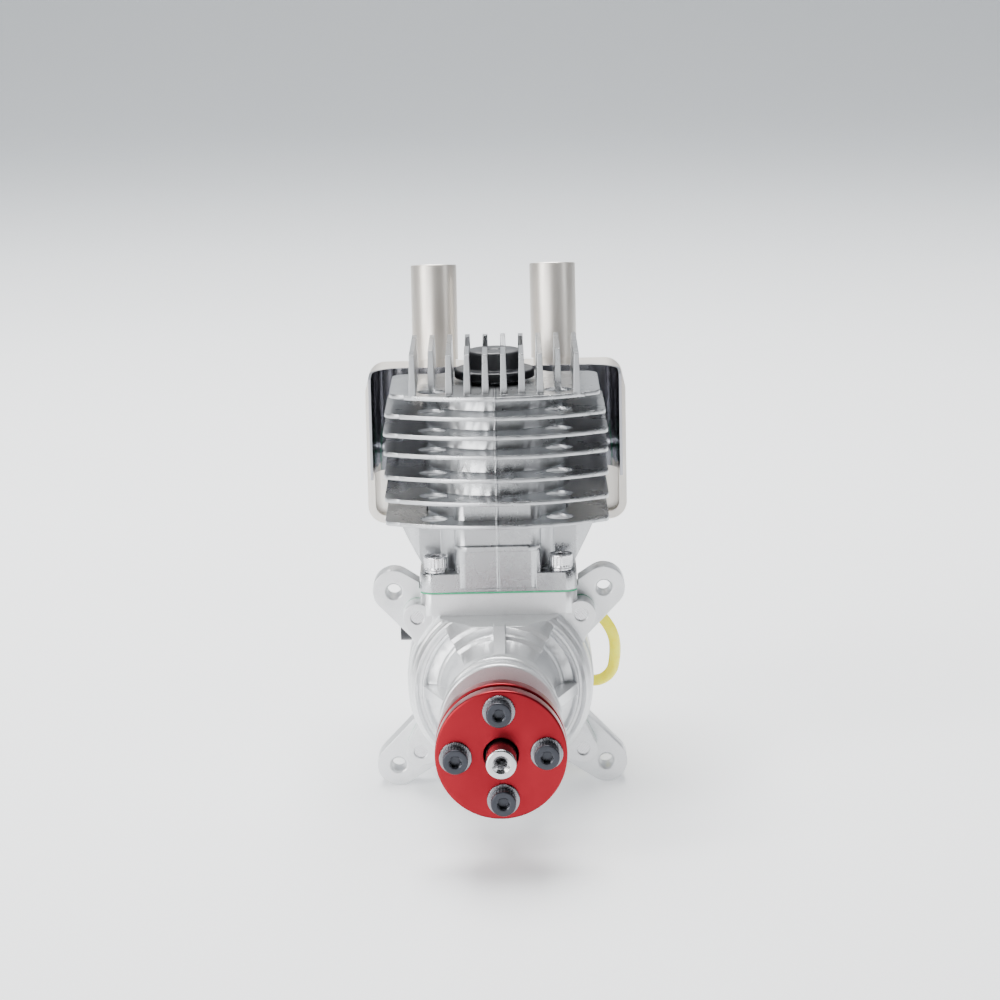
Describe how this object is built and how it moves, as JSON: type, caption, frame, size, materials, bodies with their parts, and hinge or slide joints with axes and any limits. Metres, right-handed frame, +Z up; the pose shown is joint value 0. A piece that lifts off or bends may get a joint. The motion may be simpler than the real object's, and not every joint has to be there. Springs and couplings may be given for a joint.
{
  "type": "two-stroke model aircraft engine",
  "caption": "Single-cylinder two-stroke model aircraft engine with finned cylinder, rear carburettor, rear exhaust box and red propeller hub.",
  "frame": {"origin": "on the crankshaft axis in the rear face of the four mounting lugs", "axes": "+Z up along the cylinder, -Y forward to the propeller, +X to the right seen from the front"},
  "size_m": [0.08, 0.1744, 0.1501],
  "materials": {
    "cast_aluminium": "bead-blasted casting",
    "red_anodised": "turned and anodised red",
    "black_steel": "black oxide",
    "zinc_steel": "bright zinc",
    "ground_steel": "ground",
    "forged_steel": "forged and machined",
    "polished_steel": "polished sheet",
    "satin_steel": "satin sheet",
    "black_plastic": "moulded",
    "black_rubber": "moulded",
    "green_gasket": "pressed fibre",
    "brass": "turned",
    "cast_zinc": "die cast",
    "yellow_hose": "translucent hose"
  },
  "bodies": {
    "engine": {"front_crankcase": "cast_aluminium", "rear_crankcase": "cast_aluminium", "crankcase_gasket": "green_gasket", "crankcase_screws": "zinc_steel", "cylinder": "cast_aluminium", "cylinder_base_gasket": "green_gasket", "cylinder_base_bolts": "zinc_steel", "cylinder_bolt_washers": "zinc_steel", "plug_hole_cap": "black_plastic", "rear_bearing_outer_ring": "ground_steel", "front_bearing_outer_ring": "ground_steel", "shaft_seal": "black_rubber", "exhaust_gasket": "green_gasket", "heat_shield": "polished_steel", "muffler_front_shell": "satin_steel", "muffler_rear_shell": "satin_steel", "outlet_tube_left": "satin_steel", "outlet_tube_right": "satin_steel", "muffler_bolts": "black_steel", "reed_gasket": "green_gasket", "reed_block": "cast_aluminium", "reed_petals": "ground_steel", "intake_manifold": "black_plastic", "intake_screws": "black_steel", "carburettor_gasket": "green_gasket", "carburettor_body": "cast_zinc", "carburettor_screws": "black_steel", "metering_cover": "cast_zinc", "pump_cover": "cast_zinc", "cover_screws": "zinc_steel", "pulse_nipples": "brass", "fuel_inlet": "brass", "pulse_hose": "yellow_hose"},
    "crank": {"crankshaft": "forged_steel", "rear_bearing_inner_ring": "ground_steel", "front_bearing_inner_ring": "ground_steel", "propeller_hub": "red_anodised", "centre_stud": "ground_steel", "propeller_bolts": "black_steel", "propeller_bolt_washers": "zinc_steel"},
    "rear_balls": {"rear_bearing_balls": "ground_steel"},
    "front_balls": {"front_bearing_balls": "ground_steel"},
    "running_gear": {"piston": "cast_aluminium", "piston_ring": "ground_steel", "gudgeon_pin": "ground_steel", "gudgeon_clips": "ground_steel", "connecting_rod": "forged_steel", "small_end_bearing": "ground_steel", "big_end_bearing": "ground_steel", "crankpin": "ground_steel"},
    "throttle": {"throttle_shaft": "ground_steel", "throttle_plate": "brass", "throttle_lever": "black_plastic"},
    "choke": {"choke_shaft": "ground_steel", "choke_plate": "brass", "choke_lever": "zinc_steel"},
    "high_mixture": {"high_needle": "brass"},
    "low_mixture": {"low_needle": "brass"}
  },
  "joints": [
    {"name": "crank_spin", "type": "hinge", "parent": "engine", "child": "crank", "pos_m": [0, 0, 0], "axis": [0, 1, 0], "continuous": true},
    {"name": "rear_balls_roll", "type": "hinge", "parent": "engine", "child": "rear_balls", "pos_m": [0, -0.0157, 0], "axis": [0, 1, 0], "continuous": true},
    {"name": "front_balls_roll", "type": "hinge", "parent": "engine", "child": "front_balls", "pos_m": [0, -0.045, 0], "axis": [0, 1, 0], "continuous": true},
    {"name": "piston_slide", "type": "slide", "parent": "engine", "child": "running_gear", "axis": [0, 0, 1], "range_m": [0, 0.03]},
    {"name": "throttle_turn", "type": "hinge", "parent": "engine", "child": "throttle", "pos_m": [0, 0.0465, 0.0016], "axis": [1, 0, 0], "range_deg": [0, 75]},
    {"name": "choke_turn", "type": "hinge", "parent": "engine", "child": "choke", "pos_m": [0, 0.061, 0.0016], "axis": [1, 0, 0], "range_deg": [0, 75]},
    {"name": "high_needle_turn", "type": "hinge", "parent": "engine", "child": "high_mixture", "pos_m": [0.018, 0.049, 0.0071], "axis": [1, 0, 0], "continuous": true},
    {"name": "low_needle_turn", "type": "hinge", "parent": "engine", "child": "low_mixture", "pos_m": [0.018, 0.0565, 0.0071], "axis": [1, 0, 0], "continuous": true}
  ],
  "couplings": [
    {"joint": "rear_balls_roll", "follows": "crank_spin", "ratio": 0.388},
    {"joint": "front_balls_roll", "follows": "crank_spin", "ratio": 0.3944}
  ]
}
